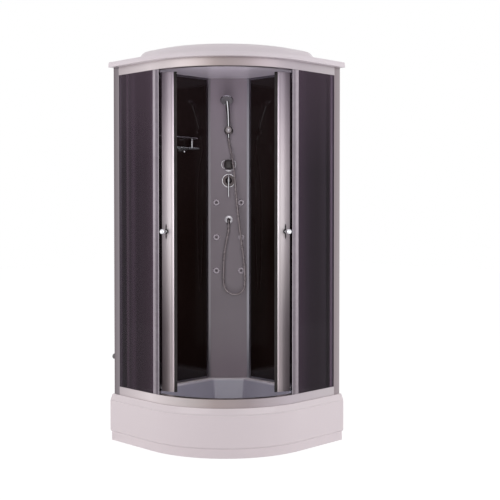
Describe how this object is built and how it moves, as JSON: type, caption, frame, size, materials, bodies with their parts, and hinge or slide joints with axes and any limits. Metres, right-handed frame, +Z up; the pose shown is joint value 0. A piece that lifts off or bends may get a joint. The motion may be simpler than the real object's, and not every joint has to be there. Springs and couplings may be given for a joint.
{
  "type": "steam shower cabin",
  "caption": "Quadrant shower cabin with high white tray, two curved doors on roller rails, tinted side panes, black walls, grey fittings column with jets, mixer and handset, and a white roof.",
  "frame": {"origin": "on the floor at the centre foot, under the middle of the 900 mm square that the cabin stands in", "axes": "+Z up; the room's corner is towards -X +Y, the doors face +X -Y, and the two room walls are the planes X = -0.45 and Y = +0.45"},
  "size_m": [0.95, 0.925, 2.15],
  "materials": {
    "acrylic_white": "moulded white sanitary acrylic, glossy",
    "roof_white": "thermoformed white roof, satin gloss",
    "aluminium_satin": "satin anodised extrusion",
    "glass_tinted": "grey tinted tempered glass, polished",
    "glass_door": "curved tempered glass, lightly tinted, polished",
    "glass_black": "black back-painted tempered glass, polished",
    "column_grey": "satin grey panel",
    "chrome": "bright chrome plating",
    "bright_trim": "bright polished trim",
    "seal_clear": "translucent soft profile",
    "seal_dark": "black magnetic seal profile",
    "plastic_dark": "black moulded plastic",
    "plastic_white": "white moulded plastic",
    "glass_shelf": "clear tempered glass with polished edge",
    "steel_zinc": "zinc plated steel",
    "brass_plain": "machined brass",
    "rubber_grey": "grey rubber"
  },
  "bodies": {
    "cabin": {"tray": "acrylic_white", "apron": "acrylic_white", "tray_frame": "steel_zinc", "levelling_feet": "steel_zinc", "drain_body": "plastic_white", "bottom_rail": "aluminium_satin", "top_rail": "aluminium_satin", "side_profile_left": "aluminium_satin", "side_profile_right": "aluminium_satin", "fixed_glass_left": "glass_tinted", "fixed_glass_right": "glass_tinted", "edge_seals": "seal_clear", "wall_panel_left": "glass_black", "wall_panel_right": "glass_black", "column_trims": "bright_trim", "column_panel": "column_grey", "ceiling_panel": "roof_white", "roof_cover": "roof_white", "holder_base": "chrome", "shower_hose": "chrome", "hose_outlet": "chrome", "mixer_plate": "chrome", "valve_body": "brass_plain", "jet_housings": "chrome", "shelf_glass": "glass_shelf", "shelf_rail": "chrome", "shelf_clamps": "chrome", "water_pipes": "plastic_white", "wall_buffer": "rubber_grey"},
    "door_left": {"door_glass_left": "glass_door", "door_stile_left": "aluminium_satin", "rear_strip_left": "aluminium_satin", "magnet_seal_left": "seal_dark", "door_knob_left": "chrome", "roller_carriers_left": "chrome"},
    "roller_upper_front_left": {"roller_upper_front_left": "plastic_white"},
    "roller_upper_rear_left": {"roller_upper_rear_left": "plastic_white"},
    "roller_lower_front_left": {"roller_lower_front_left": "plastic_white"},
    "roller_lower_rear_left": {"roller_lower_rear_left": "plastic_white"},
    "door_right": {"door_glass_right": "glass_door", "door_stile_right": "aluminium_satin", "rear_strip_right": "aluminium_satin", "magnet_seal_right": "seal_dark", "door_knob_right": "chrome", "roller_carriers_right": "chrome"},
    "roller_upper_front_right": {"roller_upper_front_right": "plastic_white"},
    "roller_upper_rear_right": {"roller_upper_rear_right": "plastic_white"},
    "roller_lower_front_right": {"roller_lower_front_right": "plastic_white"},
    "roller_lower_rear_right": {"roller_lower_rear_right": "plastic_white"},
    "mixer_lever": {"mixer_lever": "chrome"},
    "diverter_knob": {"diverter_knob": "plastic_dark"},
    "holder_cradle": {"holder_cradle": "chrome"},
    "handset": {"handset": "chrome"},
    "drain_cover": {"drain_cover": "chrome"},
    "jet_nozzle_1": {"jet_nozzle_1": "plastic_dark"},
    "jet_nozzle_2": {"jet_nozzle_2": "plastic_dark"},
    "jet_nozzle_3": {"jet_nozzle_3": "plastic_dark"},
    "jet_nozzle_4": {"jet_nozzle_4": "plastic_dark"},
    "jet_nozzle_5": {"jet_nozzle_5": "plastic_dark"},
    "jet_nozzle_6": {"jet_nozzle_6": "plastic_dark"}
  },
  "joints": [
    {"name": "door_left_slide", "type": "hinge", "parent": "cabin", "child": "door_left", "pos_m": [-0.2233, 0.54687, 1.168], "axis": [0, 0, 1], "range_deg": [0, 17.49]},
    {"name": "roller_upper_front_left_spin", "type": "hinge", "parent": "door_left", "child": "roller_upper_front_left", "pos_m": [-0.10786, -0.40899, 2.0352], "axis": [0.259, -0.9659, 0], "continuous": true},
    {"name": "roller_upper_rear_left_spin", "type": "hinge", "parent": "door_left", "child": "roller_upper_rear_left", "pos_m": [-0.37185, -0.40905, 2.0352], "axis": [-0.2586, -0.966, 0], "continuous": true},
    {"name": "roller_lower_front_left_spin", "type": "hinge", "parent": "door_left", "child": "roller_lower_front_left", "pos_m": [-0.10786, -0.40899, 0.2908], "axis": [0.259, -0.9659, 0], "continuous": true},
    {"name": "roller_lower_rear_left_spin", "type": "hinge", "parent": "door_left", "child": "roller_lower_rear_left", "pos_m": [-0.37185, -0.40905, 0.2908], "axis": [-0.2586, -0.966, 0], "continuous": true},
    {"name": "door_right_slide", "type": "hinge", "parent": "cabin", "child": "door_right", "pos_m": [-0.54687, 0.2233, 1.168], "axis": [0, 0, -1], "range_deg": [0, 17.49]},
    {"name": "roller_upper_front_right_spin", "type": "hinge", "parent": "door_right", "child": "roller_upper_front_right", "pos_m": [0.40899, 0.10786, 2.0352], "axis": [0.9659, -0.259, 0], "continuous": true},
    {"name": "roller_upper_rear_right_spin", "type": "hinge", "parent": "door_right", "child": "roller_upper_rear_right", "pos_m": [0.40905, 0.37185, 2.0352], "axis": [0.966, 0.2586, 0], "continuous": true},
    {"name": "roller_lower_front_right_spin", "type": "hinge", "parent": "door_right", "child": "roller_lower_front_right", "pos_m": [0.40899, 0.10786, 0.2908], "axis": [0.9659, -0.259, 0], "continuous": true},
    {"name": "roller_lower_rear_right_spin", "type": "hinge", "parent": "door_right", "child": "roller_lower_rear_right", "pos_m": [0.40905, 0.37185, 0.2908], "axis": [0.966, 0.2586, 0], "continuous": true},
    {"name": "mixer_lever_turn", "type": "hinge", "parent": "cabin", "child": "mixer_lever", "pos_m": [-0.33618, 0.33618, 1.458], "axis": [0.7071, -0.7071, 0], "range_deg": [-45, 45]},
    {"name": "diverter_turn", "type": "hinge", "parent": "cabin", "child": "diverter_knob", "pos_m": [-0.34325, 0.34325, 1.556], "axis": [0.7071, -0.7071, 0], "range_deg": [-90, 90]},
    {"name": "cradle_swivel", "type": "hinge", "parent": "cabin", "child": "holder_cradle", "pos_m": [-0.31213, 0.31213, 1.759], "axis": [0.7071, -0.7071, 0], "range_deg": [-25, 25]},
    {"name": "handset_lift", "type": "slide", "parent": "holder_cradle", "child": "handset", "axis": [0.147, -0.147, 0.9781], "range_m": [0, 0.05]},
    {"name": "drain_cover_lift", "type": "slide", "parent": "cabin", "child": "drain_cover", "axis": [0, 0, 1], "range_m": [0, 0.02]},
    {"name": "jet_nozzle_1_tilt", "type": "hinge", "parent": "cabin", "child": "jet_nozzle_1", "pos_m": [-0.40477, 0.2987, 1.326], "axis": [0.7071, 0.7071, 0], "range_deg": [-15, 15]},
    {"name": "jet_nozzle_2_tilt", "type": "hinge", "parent": "cabin", "child": "jet_nozzle_2", "pos_m": [-0.2987, 0.40477, 1.326], "axis": [0.7071, 0.7071, 0], "range_deg": [-15, 15]},
    {"name": "jet_nozzle_3_tilt", "type": "hinge", "parent": "cabin", "child": "jet_nozzle_3", "pos_m": [-0.40477, 0.2987, 1.116], "axis": [0.7071, 0.7071, 0], "range_deg": [-15, 15]},
    {"name": "jet_nozzle_4_tilt", "type": "hinge", "parent": "cabin", "child": "jet_nozzle_4", "pos_m": [-0.2987, 0.40477, 1.116], "axis": [0.7071, 0.7071, 0], "range_deg": [-15, 15]},
    {"name": "jet_nozzle_5_tilt", "type": "hinge", "parent": "cabin", "child": "jet_nozzle_5", "pos_m": [-0.40477, 0.2987, 0.913], "axis": [0.7071, 0.7071, 0], "range_deg": [-15, 15]},
    {"name": "jet_nozzle_6_tilt", "type": "hinge", "parent": "cabin", "child": "jet_nozzle_6", "pos_m": [-0.2987, 0.40477, 0.913], "axis": [0.7071, 0.7071, 0], "range_deg": [-15, 15]}
  ],
  "couplings": [
    {"joint": "roller_upper_front_left_spin", "follows": "door_left_slide", "ratio": -82.881},
    {"joint": "roller_upper_rear_left_spin", "follows": "door_left_slide", "ratio": -83.637},
    {"joint": "roller_lower_front_left_spin", "follows": "door_left_slide", "ratio": 82.881},
    {"joint": "roller_lower_rear_left_spin", "follows": "door_left_slide", "ratio": 83.637},
    {"joint": "roller_upper_front_right_spin", "follows": "door_right_slide", "ratio": 82.881},
    {"joint": "roller_upper_rear_right_spin", "follows": "door_right_slide", "ratio": 83.637},
    {"joint": "roller_lower_front_right_spin", "follows": "door_right_slide", "ratio": -82.881},
    {"joint": "roller_lower_rear_right_spin", "follows": "door_right_slide", "ratio": -83.637}
  ]
}
